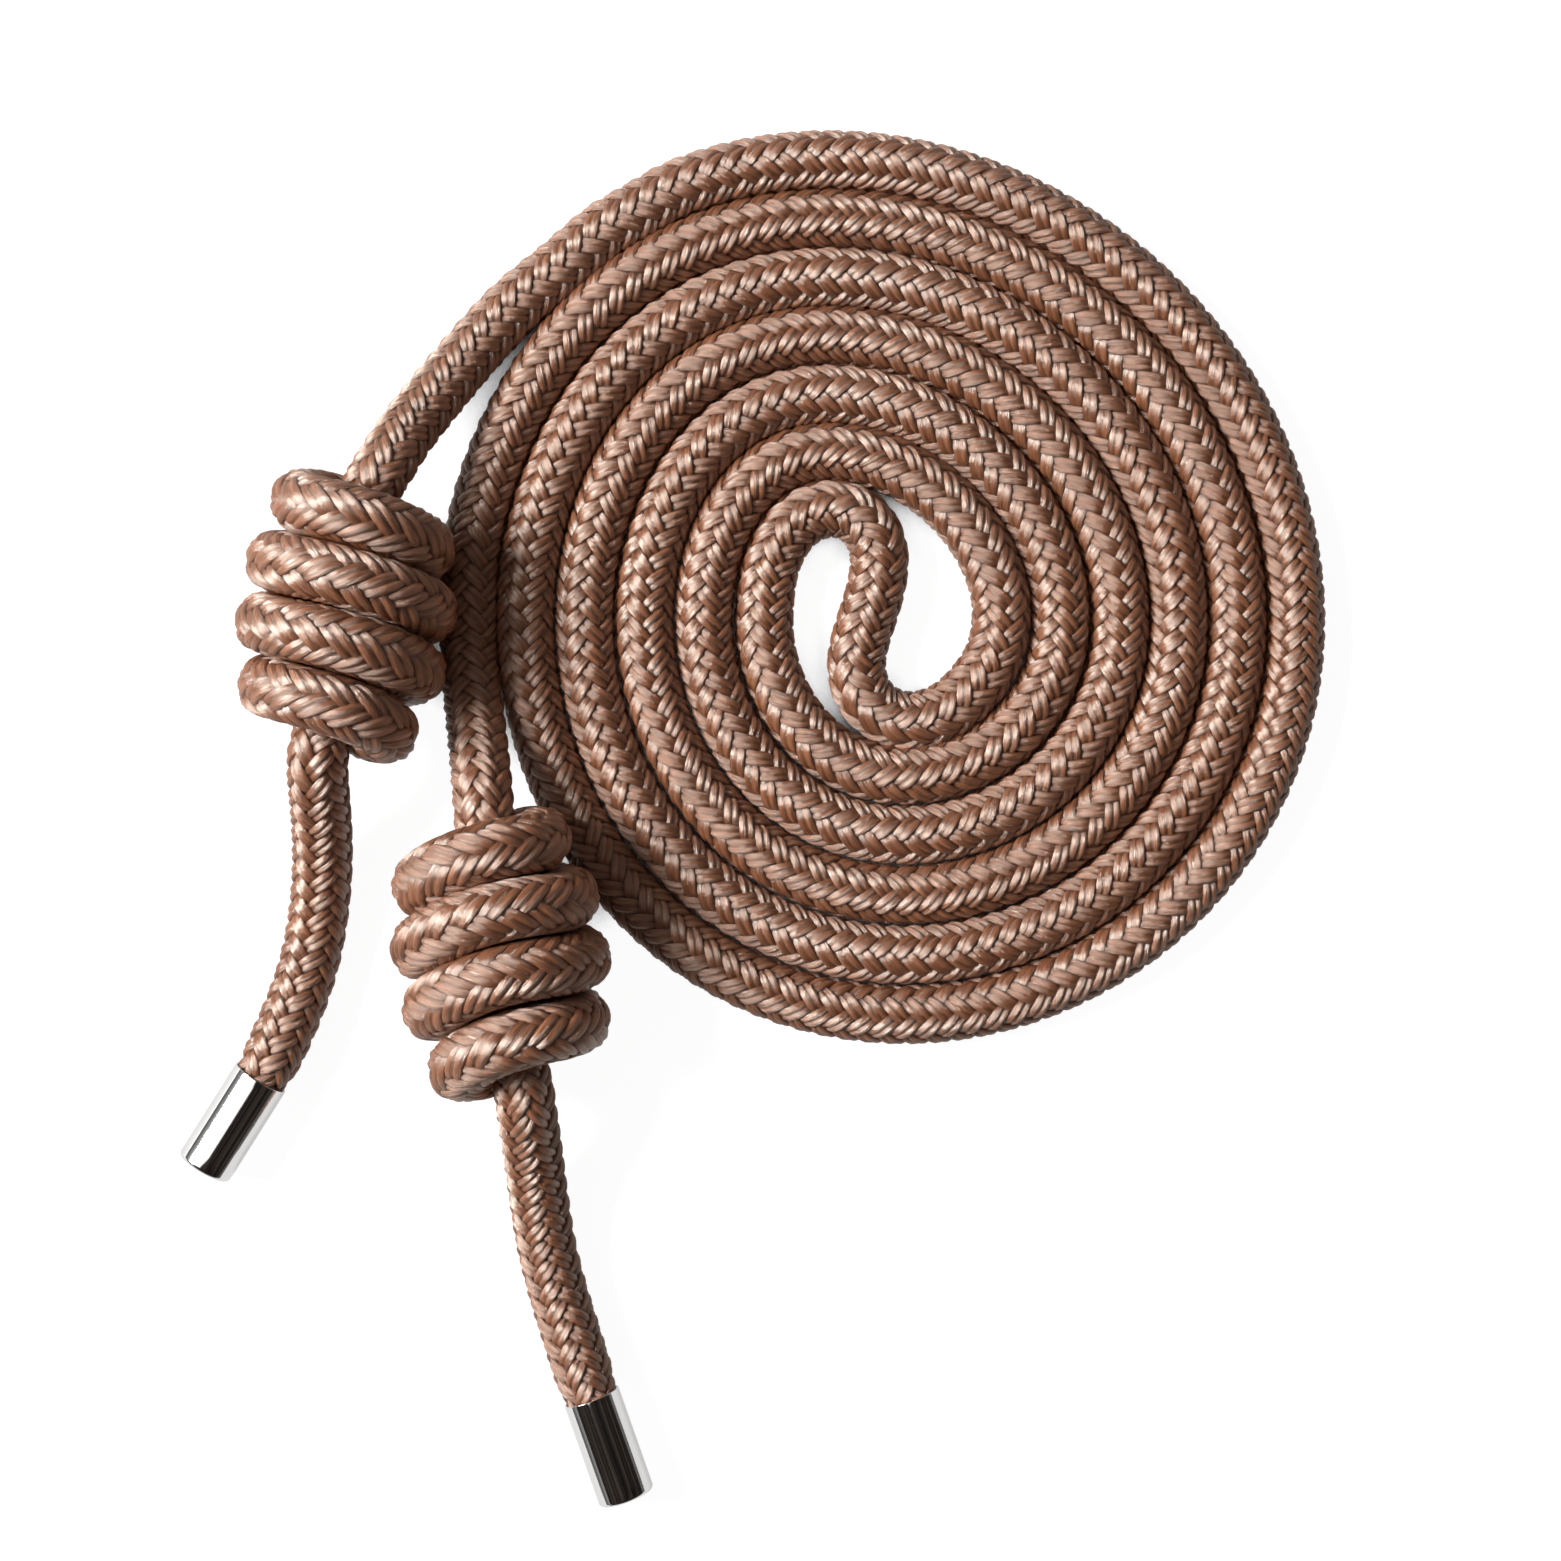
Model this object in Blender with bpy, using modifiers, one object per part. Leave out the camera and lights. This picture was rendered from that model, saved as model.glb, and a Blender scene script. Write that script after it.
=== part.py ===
"""A flow rope, laid flat in a double coil.

One length of braided rope is folded at its middle and wound up flat, so the fold lies as an S in the
coil's heart and both ends leave the coil on the same side.  Each end is wound into a barrel knot that
stops the hand, and ends in a short tail with a drawn metal cap over the cut.  The rope is a braided
cover over a core of straight yarns.  Both are made in stretches that meet face to face: the coil,
and on each end a lead, a knot and a tail.

Metres, +Z up.  The rope lies on the floor at z = 0, under the middle of the whole layout is x = y = 0.
"""
import math

import bmesh
import bpy
import numpy as np

# Rope
rope_diameter = 0.0125
bore_share = 0.64                       # the cover's bore, of the rope's own diameter there
core_clearance = 0.00045                # between the cover's bore and the core yarns
joint_gap = 0.0003                      # where two stretches meet face to face
floor_cut_share = 0.1                   # the side that lies on the floor is pressed flat this deep
cover_resolution = 1                    # bevel resolution: six sides
core_resolution = 0                     # four sides

# Coil: two arms a half turn apart, in shares of the pitch between neighbouring strands
strand_gap = 0.00075
coil_centre = (0.0285, 0.0459)
outer_reach_share = 7.13                # from the centre to the outermost strand, square to it
oval_share, oval_angle = 0.19, math.radians(62)
egg_share, egg_angle = 0.064, math.radians(5)
drift_share, drift_angle = 0.015, math.radians(121)
ring_step = math.radians(15)
first_arm_rings = (-7.5, 59.5)          # where each arm starts and ends, counted in ring steps
second_arm_rings = (-11.5, 47.5)

# The fold in the coil's heart, from the first arm to the second, in shares of the same pitch
heart_shares = [
    (-1.86, 0.66), (-1.67, 1.13), (-1.36, 1.52), (-0.96, 1.72), (-0.53, 1.71), (-0.19, 1.47),
    (-0.01, 1.08), (-0.01, 0.61), (-0.14, 0.11), (-0.29, -0.36), (-0.36, -0.80), (-0.26, -1.25),
    (0.04, -1.57), (0.48, -1.70), (0.96, -1.60), (1.38, -1.30), (1.92, -0.62),
]
heart_rings = 26

# Knots: four wraps round the rope's own two passes, which the knot squeezes thin
wraps = 4
wrap_gap = 0.0011
squeezed_diameter = 0.0050
pass_gap = 0.0010                       # between the two passes
pass_clearance = 0.0006                 # between the passes and the end wraps
belly = 0.0040                          # the middle wraps reach this much further out to each side
belly_height = 0.0024                   # and this much further up and down
twist_length = 0.0120                   # the passes change places over this length
seam_offset = 0.0110                    # from the knot's middle to where its ends meet lead and tail
mouth_offset = 0.0160                   # to where the passes leave the wraps
turn_in_degrees = 30                    # where the turn-in starts on the end wrap
turn_in_rush = 0.0370                   # how hard it runs out along the knot before it comes back
turn_in_rings = 11
turn_in_swell_share = 0.8               # of the turn-in: back at the rope's full diameter
twist_rings = 7
exit_delay = 0.0030                     # from the mouth to where the rope starts to swell again
exit_swell = 0.0150
wrap_rings = 24

# Each knot's middle, the direction from its lead to its tail, and the hand of its wraps
upper_knot = (-0.0885, 0.0450), math.radians(263), 1
lower_knot = (-0.0546, -0.0291), math.radians(278), -1

# Free stretches, from the knot's mouth outwards
upper_lead_route = [
    (-0.0852, 0.0667, 0.0229), (-0.0836, 0.0706, 0.0225), (-0.0818, 0.0744, 0.0222),
    (-0.0793, 0.0788, 0.0208), (-0.0765, 0.0844, 0.0175), (-0.0724, 0.0909, 0.0138),
    (-0.0673, 0.0982, 0.0102), (-0.0607, 0.1068, 0.0072), (-0.0530, 0.1154, 0.0056),
    (-0.0429, 0.1238, 0.0050),
]
lower_lead_route = [
    (-0.0577, -0.0071, 0.0229), (-0.0578, -0.0030, 0.0227), (-0.0580, 0.0012, 0.0226),
    (-0.0585, 0.0056, 0.0216), (-0.0594, 0.0116, 0.0181), (-0.0608, 0.0196, 0.0127),
    (-0.0622, 0.0281, 0.0084), (-0.0632, 0.0356, 0.0061),
]
upper_tail_route = [
    (-0.0917, 0.0232, 0.0228), (-0.0932, 0.0194, 0.0223), (-0.0943, 0.0155, 0.0220),
    (-0.0948, 0.0111, 0.0205), (-0.0950, 0.0051, 0.0167), (-0.0952, -0.0024, 0.0122),
    (-0.0957, -0.0104, 0.0088), (-0.0968, -0.0199, 0.0064), (-0.0988, -0.0304, 0.0053),
    (-0.1017, -0.0399, 0.0056),
]
lower_tail_route = [
    (-0.0513, -0.0506, 0.0228), (-0.0502, -0.0545, 0.0223), (-0.0495, -0.0585, 0.0220),
    (-0.0491, -0.0629, 0.0205), (-0.0486, -0.0689, 0.0167), (-0.0481, -0.0762, 0.0120),
    (-0.0473, -0.0849, 0.0085), (-0.0459, -0.0951, 0.0062), (-0.0436, -0.1049, 0.0053),
    (-0.0408, -0.1139, 0.0056),
]
route_step = 0.0090                     # between the rings of a free stretch
straight_run = 0.0050                   # at the lead's end on the coil

# End caps: drawn cups glued over the rope's cut ends
cap_diameter = 0.0128
cap_length = 0.0240
cap_wall = 0.0005
cap_end_wall = 0.0008
cap_edge = 0.0010                       # rounding round the closed end
cap_edge_points = 5
cap_lip = 0.0002                        # the mouth is rolled over by this much
cap_lip_length = 0.0007
cap_steps = 40
cap_seat = 0.0003                       # round the rope's end, and on both sides of the glue
glue_thickness = 0.0018
neck = 0.0030                           # the rope is squeezed in over this length before the cap
upper_cap = (-0.1098, -0.0575), math.radians(237.8)
lower_cap = (-0.0358, -0.1289), math.radians(289.4)

cut_overrun = 0.0100

rope_radius = rope_diameter / 2
squeezed_radius = squeezed_diameter / 2
strand_pitch = rope_diameter + strand_gap
wrap_pitch = rope_diameter + wrap_gap
lying_height = rope_radius - floor_cut_share * rope_diameter
pass_offset = squeezed_radius + pass_gap / 2
end_reach = pass_offset + squeezed_radius + pass_clearance + rope_radius
knot_height = end_reach + belly_height + lying_height
cap_height = cap_diameter / 2 + cap_lip
cap_bore_radius = cap_diameter / 2 - cap_wall
rope_end_radius = cap_bore_radius - cap_seat
tuck = cap_length - cap_end_wall - glue_thickness - 2 * cap_seat


def unit(vector):
    return vector / np.linalg.norm(vector)


def ease(share):
    """Zero to one, level at both ends."""
    share = np.clip(share, 0, 1)
    return share * share * (3 - 2 * share)


def lengths_along(points):
    """How far along the path each point lies."""
    return np.concatenate([[0], np.cumsum(np.linalg.norm(np.diff(points, axis=0), axis=1))])


def smooth(points, step, before, after):
    """Points about a step apart on the smooth curve through these, which goes on to its neighbours."""
    points = np.vstack([before, points, after])
    spans = np.sqrt(np.linalg.norm(np.diff(points, axis=0), axis=1))[:, None]
    slopes = np.diff(points, axis=0) / spans
    tangents = (slopes[:-1] * spans[1:] + slopes[1:] * spans[:-1]) / (spans[:-1] + spans[1:])
    u = np.linspace(0, 1, 60)[:, None, None]
    start, end, span = points[1:-2], points[2:-1], spans[1:-1]
    curve = ((2 * u**3 - 3 * u**2 + 1) * start + (u**3 - 2 * u**2 + u) * span * tangents[:-1]
             + (3 * u**2 - 2 * u**3) * end + (u**3 - u**2) * span * tangents[1:])
    curve = curve.transpose(1, 0, 2).reshape(-1, 3)
    along = lengths_along(curve)
    stations = np.linspace(0, along[-1], max(3, round(along[-1] / step) + 1))
    return np.stack([np.interp(stations, along, curve[:, axis]) for axis in range(3)], axis=1)


def arm(first_ring, last_ring, offset):
    """One arm of the coil, inwards from the outside, as the line that keeps its reach from the centre.

    The reach is measured square to the strand.  It falls by a pitch each half turn, and an oval, an
    egg and a slow drift of the centre bend the turns as the rope was laid.
    """
    turned = np.arange(first_ring, last_ring + 1) * ring_step
    half_turns = turned / math.pi + offset
    inwards = 3 - half_turns
    oval, egg, drift = turned - oval_angle, turned - egg_angle, turned - drift_angle
    reach = (outer_reach_share - half_turns + oval_share * np.cos(2 * oval)
             + egg_share * np.cos(3 * egg) + drift_share * inwards * np.cos(drift))
    growth = (-1 / math.pi - 2 * oval_share * np.sin(2 * oval) - 3 * egg_share * np.sin(3 * egg)
              - drift_share * (inwards * np.sin(drift) + np.cos(drift) / math.pi))
    x = coil_centre[0] + strand_pitch * (reach * np.cos(turned) - growth * np.sin(turned))
    y = coil_centre[1] - strand_pitch * (reach * np.sin(turned) + growth * np.cos(turned))
    return np.stack([x, y, np.full_like(x, lying_height)], axis=1)


def outer_heading(arm_rings):
    """The way an arm runs on outwards, as its next ring step would."""
    turned = (arm_rings[0] - 0.5) * ring_step
    return np.array([math.sin(turned), math.cos(turned), 0])


def coil_path():
    """Both arms with the fold between them, and a straight run of one diameter at each outer end."""
    first = arm(*first_arm_rings, 0)
    second = arm(*second_arm_rings, 1)[::-1]
    start = first[0] + rope_diameter * outer_heading(first_arm_rings)
    end = second[-1] + rope_diameter * outer_heading(second_arm_rings)
    heart = [(coil_centre[0] + strand_pitch * x, coil_centre[1] + strand_pitch * y, lying_height)
             for x, y in heart_shares]
    around = np.vstack([first[-1], heart, second[0]])
    step = lengths_along(around)[-1] / heart_rings
    middle = smooth(around, step, first[-2], second[1])
    return np.vstack([start, first[:-1], middle, second[1:], end])


def wrap_point(degrees):
    """The wraps in the knot's own frame: u along it to the tail, v sideways, w up.

    Each wrap's top is at 90 degrees.  The wraps reach furthest amid the knot.
    """
    angle = np.radians(degrees)
    u = ((wraps - 1) / 2 - (degrees - 90) / 360) * wrap_pitch
    half_length = ((wraps - 1) / 2 + (90 - turn_in_degrees) / 360) * wrap_pitch
    bulge = 1 - (u / half_length) ** 2
    return np.stack([u, (end_reach + belly * bulge) * np.cos(angle),
                     (end_reach + belly_height * bulge) * np.sin(angle)], axis=-1)


def turn_in():
    """From the mouth at the tail's end round to the start of the wraps, with the rope's radius there.

    Seen along the knot it is one arc that leaves the pass and runs into the end wrap.
    """
    start = np.array([mouth_offset, 0, -pass_offset])
    end, beyond = wrap_point(np.array([turn_in_degrees, turn_in_degrees + 1.0]))
    heading = unit((beyond - end)[1:])
    outwards = np.array([heading[1], -heading[0]])
    chord = (start - end)[1:]
    radius = -(chord @ chord) / (2 * chord @ outwards)
    centre = end[1:] - radius * outwards
    first = math.atan2(start[2] - centre[1], start[1] - centre[0]) % math.tau
    last = math.atan2(outwards[1], outwards[0]) % math.tau + math.tau
    t = np.linspace(0, 1, turn_in_rings)
    angle = first + (last - first) * t
    settle = -wrap_pitch * (last - first) / math.tau
    u = ((2 * t**3 - 3 * t**2 + 1) * start[0] + (t**3 - 2 * t**2 + t) * turn_in_rush
         + (3 * t**2 - 2 * t**3) * end[0] + (t**3 - t**2) * settle)
    points = np.stack([u, centre[0] + radius * np.cos(angle), centre[1] + radius * np.sin(angle)], axis=1)
    swell = 1 - (1 - np.clip(t / turn_in_swell_share, 0, 1)) ** 2
    return points, squeezed_radius + (rope_radius - squeezed_radius) * swell


def knot_path():
    """The knot as one line in its own frame, from its seam with the lead to its seam with the tail.

    The pass from the lead starts on top and ends below, where it turns in to the wraps.  The other
    half is the same line turned half round about the upright axis and run backwards.
    """
    twist = np.linspace(-twist_length / 2, twist_length / 2, twist_rings)
    stations = np.array([-seam_offset, *twist, seam_offset, mouth_offset])
    angle = math.pi * (0.5 - ease(stations / twist_length + 0.5))
    down = np.stack([stations, pass_offset * np.cos(angle), pass_offset * np.sin(angle)], axis=1)
    round_in, swelling = turn_in()
    half = np.vstack([down[:-1], round_in])
    radii = np.concatenate([np.full(len(down) - 1, squeezed_radius), swelling])
    last = 360 * (wraps - 1) + 180 - turn_in_degrees
    around = wrap_point(np.linspace(turn_in_degrees, last, round(wrap_rings * (last / 360)) + 1))[1:-1]
    points = np.vstack([half, around, half[::-1] * (-1, -1, 1)])
    return points, np.concatenate([radii, np.full(len(around), rope_radius), radii[::-1]])


def placed(points, knot):
    """Points of a knot's own frame in the part's frame."""
    middle, heading, hand = knot
    along = np.array([math.cos(heading), math.sin(heading), 0])
    across = hand * np.array([-math.sin(heading), math.cos(heading), 0])
    centre = np.array([*middle, knot_height])
    return centre + points @ np.array([along, across, (0, 0, 1)])


def exit_path(knot, side):
    """The straight run of a pass from the seam to the mouth: side -1 at the lead's end, 1 at the tail's."""
    stations = np.linspace(seam_offset, mouth_offset, 3)
    return placed(np.stack([side * stations, 0 * stations, pass_offset + 0 * stations], axis=1), knot)


def exit_radii(points):
    """The rope's radius along a free stretch that starts at a knot's seam."""
    from_mouth = lengths_along(points) - (mouth_offset - seam_offset)
    return squeezed_radius + (rope_radius - squeezed_radius) * ease((from_mouth - exit_delay) / exit_swell)


def lead(knot, route, coil_end):
    """From a knot's seam to the end of the coil, which it meets head on after a short straight run."""
    start = exit_path(knot, -1)
    end, beyond = coil_end
    near = end + straight_run * unit(end - beyond)
    curve = smooth(np.vstack([start[-1], route, near]), route_step, start[-2], end)
    points = np.vstack([start[:-1], curve, end])
    return points, exit_radii(points)


def tail(knot, route, cap):
    """From a knot's seam into the cap."""
    start = exit_path(knot, 1)
    mouth, heading = cap
    inwards = np.array([math.cos(heading), math.sin(heading), 0])
    mouth = np.array([*mouth, cap_height])
    necked = mouth - neck * inwards
    curve = smooth(np.vstack([start[-1], route, necked]), route_step, start[-2], mouth)
    points = np.vstack([start[:-1], curve, mouth, mouth + tuck * inwards])
    radii = exit_radii(points)
    radii[-2:] = rope_end_radius
    return points, radii


def trimmed(points, start, end):
    """The same line with its ends drawn in by these lengths."""
    points = points.copy()
    points[0] += start * unit(points[1] - points[0])
    points[-1] += end * unit(points[-2] - points[-1])
    return points


def least_gap(points, radii):
    """The least clearance of a wound tube to itself, measured on points along its line."""
    along = lengths_along(points)
    stations = np.arange(0, along[-1], rope_diameter / 10)
    fine = np.stack([np.interp(stations, along, points[:, axis]) for axis in range(3)], axis=1)
    thick = np.interp(stations, along, radii)
    apart = np.linalg.norm(fine[:, None] - fine[None], axis=2) - thick[:, None] - thick[None]
    return apart[np.abs(stations[:, None] - stations[None]) > 2.2 * rope_diameter].min()


def material(name, colour, roughness, metallic=0.0):
    made = bpy.data.materials.new(name)
    made.use_nodes = True
    shader = made.node_tree.nodes["Principled BSDF"]
    shader.inputs["Base Color"].default_value = (*colour, 1)
    shader.inputs["Roughness"].default_value = roughness
    shader.inputs["Metallic"].default_value = metallic
    return made


def new_collection(name):
    made = bpy.data.collections.new(name)
    bpy.context.scene.collection.children.link(made)
    return made


def add_object(name, mesh, collection, finish=None):
    made = bpy.data.objects.new(name, mesh)
    collection.objects.link(made)
    if finish:
        mesh.materials.append(finish)
    return made


def hide(guide):
    guide.hide_render = True
    guide.display_type = "WIRE"


def tube(name, points, radii, resolution, collection, finish=None):
    """A closed tube along the line, swept as a curve and then made a mesh with welded caps."""
    curve = bpy.data.curves.new(name, "CURVE")
    curve.dimensions = "3D"
    curve.bevel_depth = float(radii.max())
    curve.bevel_resolution = resolution
    curve.use_fill_caps = True
    line = curve.splines.new("POLY")
    line.points.add(len(points) - 1)
    line.points.foreach_set("co", np.hstack([points, np.ones((len(points), 1))]).ravel())
    line.points.foreach_set("radius", radii / radii.max())
    guide = bpy.data.objects.new(name + "_line", curve)
    collection.objects.link(guide)
    evaluated = guide.evaluated_get(bpy.context.evaluated_depsgraph_get())
    mesh = bpy.data.meshes.new_from_object(evaluated)
    mesh.name = name
    welded = bmesh.new()
    welded.from_mesh(mesh)
    bmesh.ops.remove_doubles(welded, verts=welded.verts, dist=joint_gap / 10)
    bmesh.ops.recalc_face_normals(welded, faces=welded.faces)
    welded.to_mesh(mesh)
    welded.free()
    mesh.materials.clear()
    made = add_object(name, mesh, collection, finish)
    made.matrix_world = guide.matrix_world
    bpy.data.objects.remove(guide)
    bpy.data.curves.remove(curve)
    return made


def cut(target, cutter, label):
    boolean = target.modifiers.new(label, "BOOLEAN")
    boolean.operation = "DIFFERENCE"
    boolean.solver = "EXACT"
    boolean.object = cutter


def lengthened(points):
    """The same line run straight on past both ends, for a cutter."""
    return trimmed(points, -cut_overrun, -cut_overrun)


def stretch(name, points, radii):
    """One stretch of the rope: the bored cover, pressed flat where it lies on the floor, and its core."""
    bore = bore_share * radii
    cover = tube("cover_" + name, points, radii, cover_resolution, parts, cover_finish)
    cutter = tube("bore_" + name, lengthened(points), bore, core_resolution, cutters)
    hide(cutter)
    cut(cover, cutter, "bore")
    cut(cover, floor, "floor")
    tube("core_" + name, points, bore - core_clearance, core_resolution, parts, core_finish)


def floor_block(width, depth):
    """Everything under the floor, as a cutter."""
    bpy.ops.mesh.primitive_cube_add(size=1, location=(0, 0, -depth / 2))
    block = bpy.context.object
    block.name = "floor"
    block.scale = (width, width, depth)
    for collection in list(block.users_collection):
        collection.objects.unlink(block)
    cutters.objects.link(block)
    hide(block)
    return block


def turned(name, profile, finish):
    """A solid turned about its own Z axis from a profile that starts and ends on the axis."""
    mesh = bpy.data.meshes.new(name)
    corners = [(radius, 0, height) for radius, height in profile]
    mesh.from_pydata(corners, [(i, i + 1) for i in range(len(corners) - 1)], [])
    made = add_object(name, mesh, parts, finish)
    screw = made.modifiers.new("turn", "SCREW")
    screw.steps = cap_steps
    screw.render_steps = cap_steps
    screw.use_merge_vertices = True
    screw.merge_threshold = cap_seat / 100
    screw.use_smooth_shade = True
    return made


def lay_along(made, cap):
    """Puts a turned piece's Z axis along the cap's, with its zero at the cap's mouth."""
    mouth, heading = cap
    made.location = (*mouth, cap_height)
    made.rotation_euler = (0, math.pi / 2, heading)


def end_cap(name, cap):
    """A drawn cup with a rolled mouth and a rounded closed end."""
    radius = cap_diameter / 2
    arc = np.linspace(0, math.pi / 2, cap_edge_points)
    edge = [(radius - cap_edge * (1 - math.sin(a)), cap_length - cap_edge * (1 - math.cos(a))) for a in arc]
    floor_height = cap_length - cap_end_wall
    profile = [(0, cap_length)] + edge + [
        (radius, 2 * cap_lip_length), (radius + cap_lip, cap_lip_length), (radius + cap_lip, 0),
        (cap_bore_radius, 0), (cap_bore_radius, floor_height), (0, floor_height)]
    lay_along(turned(name, profile, metal_finish), cap)


def cap_glue(name, cap):
    """The set glue between the rope's cut end and the bottom of the cup."""
    bottom = tuck + cap_seat
    top = bottom + glue_thickness
    profile = [(0, top), (rope_end_radius, top), (rope_end_radius, bottom), (0, bottom)]
    lay_along(turned(name, profile, glue_finish), cap)


for old in list(bpy.data.objects):
    bpy.data.objects.remove(old)

parts = new_collection("flow_rope")
cutters = new_collection("cutters")
cover_finish = material("braided_cover", (0.40, 0.22, 0.16), 0.55)
core_finish = material("core_yarn", (0.62, 0.50, 0.42), 0.8)
metal_finish = material("chromed_brass", (0.80, 0.80, 0.81), 0.12, 1.0)
glue_finish = material("set_glue", (0.75, 0.68, 0.50), 0.4)

coil = coil_path()
coil_radii = np.full(len(coil), rope_radius)
half_gap = joint_gap / 2
span = 2 * cap_length + 2 * float(np.abs(coil).max())
floor = floor_block(2 * span, cut_overrun)

stretch("coil", trimmed(coil, half_gap, half_gap), coil_radii)
print("coil: least gap to itself %.2f mm" % (least_gap(coil, coil_radii) * 1000))

ends = (
    ("upper", upper_knot, upper_lead_route, upper_tail_route, coil[:2], upper_cap),
    ("lower", lower_knot, lower_lead_route, lower_tail_route, coil[:-3:-1], lower_cap),
)
for label, knot, lead_route, tail_route, coil_end, cap in ends:
    local, radii = knot_path()
    print("%s knot: least gap to itself %.2f mm" % (label, least_gap(local, radii) * 1000))
    stretch(label + "_knot", trimmed(placed(local, knot), half_gap, half_gap), radii)
    points, radii = lead(knot, lead_route, coil_end)
    stretch(label + "_lead", trimmed(points, half_gap, half_gap), radii)
    points, radii = tail(knot, tail_route, cap)
    stretch(label + "_tail", trimmed(points, half_gap, 0), radii)
    end_cap(label + "_end_cap", cap)
    cap_glue(label + "_cap_glue", cap)
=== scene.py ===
"""A flow rope laid flat in a double coil, with a barrel knot and a metal cap at each end.

Metres, in the part's own frame: +Z up, the floor at z = 0.
"""
import math

import bpy
import numpy as np
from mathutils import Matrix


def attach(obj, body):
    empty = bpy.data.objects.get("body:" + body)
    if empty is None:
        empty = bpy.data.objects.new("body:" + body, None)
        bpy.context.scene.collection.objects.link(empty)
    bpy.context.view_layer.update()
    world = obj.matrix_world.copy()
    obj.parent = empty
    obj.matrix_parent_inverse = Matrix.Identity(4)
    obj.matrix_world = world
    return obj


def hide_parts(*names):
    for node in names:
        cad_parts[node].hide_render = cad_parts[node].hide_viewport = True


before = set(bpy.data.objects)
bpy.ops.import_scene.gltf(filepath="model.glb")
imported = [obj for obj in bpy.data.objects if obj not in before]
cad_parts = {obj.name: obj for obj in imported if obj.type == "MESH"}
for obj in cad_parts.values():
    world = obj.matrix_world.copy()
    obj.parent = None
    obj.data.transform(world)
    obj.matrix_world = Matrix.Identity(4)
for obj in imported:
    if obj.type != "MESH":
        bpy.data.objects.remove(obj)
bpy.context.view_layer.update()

# Camera
# It looks straight down on the rope, as the photograph does. The height, a little over half a metre,
# is an assumption that the layout was fitted with.
view_centre = (0.00657, 0.00891)
view_height = 0.625
half_view_share = 0.2826                # half the picture's width, of the height

view = bpy.data.cameras.new("camera")
view.lens = view.sensor_width / (2 * half_view_share)
camera = bpy.data.objects.new("camera", view)
camera.location = (*view_centre, view_height)
bpy.context.scene.collection.objects.link(camera)
bpy.context.scene.camera = camera


# Core of the rope
# A bundle of straight yarns, as long as the whole rope, that the braid is laid over. Its line runs
# from the upper cap through the knot into the coil, round the fold in the coil's heart and out again.
rope_diameter = 0.0125
rope_radius = rope_diameter / 2
strand_pitch = 0.01325                  # between neighbouring strands of the coil
lying_height = 0.005                    # the rope's middle above the floor, pressed a little flat
coil_centre = (0.0285, 0.0459)
outer_reach_share = 7.13
oval_share, oval_angle = 0.19, math.radians(62)
egg_share, egg_angle = 0.064, math.radians(5)
drift_share, drift_angle = 0.015, math.radians(121)
ring_step = math.radians(15)
fine_step = math.radians(1)
points_per_span = 20
first_arm = (-7.5 * ring_step, 59.5 * ring_step)
second_arm = (-11.5 * ring_step, 47.5 * ring_step)
heart_shares = [                        # points of the fold, in strand pitches from the coil's centre
    (-1.87, 0.67), (-1.70, 1.17), (-1.40, 1.58), (-0.98, 1.80), (-0.53, 1.79), (-0.17, 1.53),
    (0.01, 1.10), (-0.01, 0.61), (-0.14, 0.11), (-0.29, -0.36), (-0.37, -0.81), (-0.27, -1.29),
    (0.03, -1.63), (0.49, -1.78), (1.01, -1.68), (1.46, -1.37), (1.97, -0.65),
]

wraps = 4
wrap_pitch = 0.0136
squeezed_share = 0.4                    # how thin the knot squeezes the rope's two passes
pass_offset = 0.0030
end_reach = 0.01235
belly, belly_height = 0.0040, 0.0024
twist_length = 0.0120
seam_offset, mouth_offset = 0.0110, 0.0160
turn_in_degrees = 30
turn_in_rush = 0.0370
turn_in_swell_share = 0.5
turn_in_plump_from = 0.7                # the rope plumps up from this share of its thickness
exit_delay = 0.0010
exit_swell = 0.0100
knot_height = end_reach + belly_height + lying_height
upper_knot = (-0.0885, 0.0450), math.radians(263), 1
lower_knot = (-0.0546, -0.0291), math.radians(278), -1
upper_arch, lower_arch = 0.0010, 0.0028 # how far a knot's wraps arch towards its lead on top

upper_lead_route = [
    (-0.0852, 0.0667, 0.0229), (-0.0836, 0.0706, 0.0225), (-0.0818, 0.0744, 0.0222),
    (-0.0793, 0.0788, 0.0208), (-0.0765, 0.0844, 0.0175), (-0.0724, 0.0909, 0.0138),
    (-0.0673, 0.0982, 0.0102), (-0.0607, 0.1068, 0.0072), (-0.0530, 0.1154, 0.0056),
    (-0.0429, 0.1238, 0.0050),
]
lower_lead_route = [
    (-0.0577, -0.0071, 0.0229), (-0.0578, -0.0030, 0.0227), (-0.0580, 0.0012, 0.0226),
    (-0.0585, 0.0056, 0.0216), (-0.0594, 0.0116, 0.0181), (-0.0608, 0.0196, 0.0127),
    (-0.0622, 0.0281, 0.0084), (-0.0632, 0.0356, 0.0061),
]
upper_tail_route = [
    (-0.0917, 0.0232, 0.0228), (-0.0932, 0.0194, 0.0223), (-0.0943, 0.0155, 0.0220),
    (-0.0948, 0.0111, 0.0205), (-0.0950, 0.0051, 0.0167), (-0.0952, -0.0024, 0.0122),
    (-0.0957, -0.0104, 0.0088), (-0.0968, -0.0199, 0.0064), (-0.0988, -0.0304, 0.0053),
    (-0.1017, -0.0399, 0.0056),
]
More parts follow.
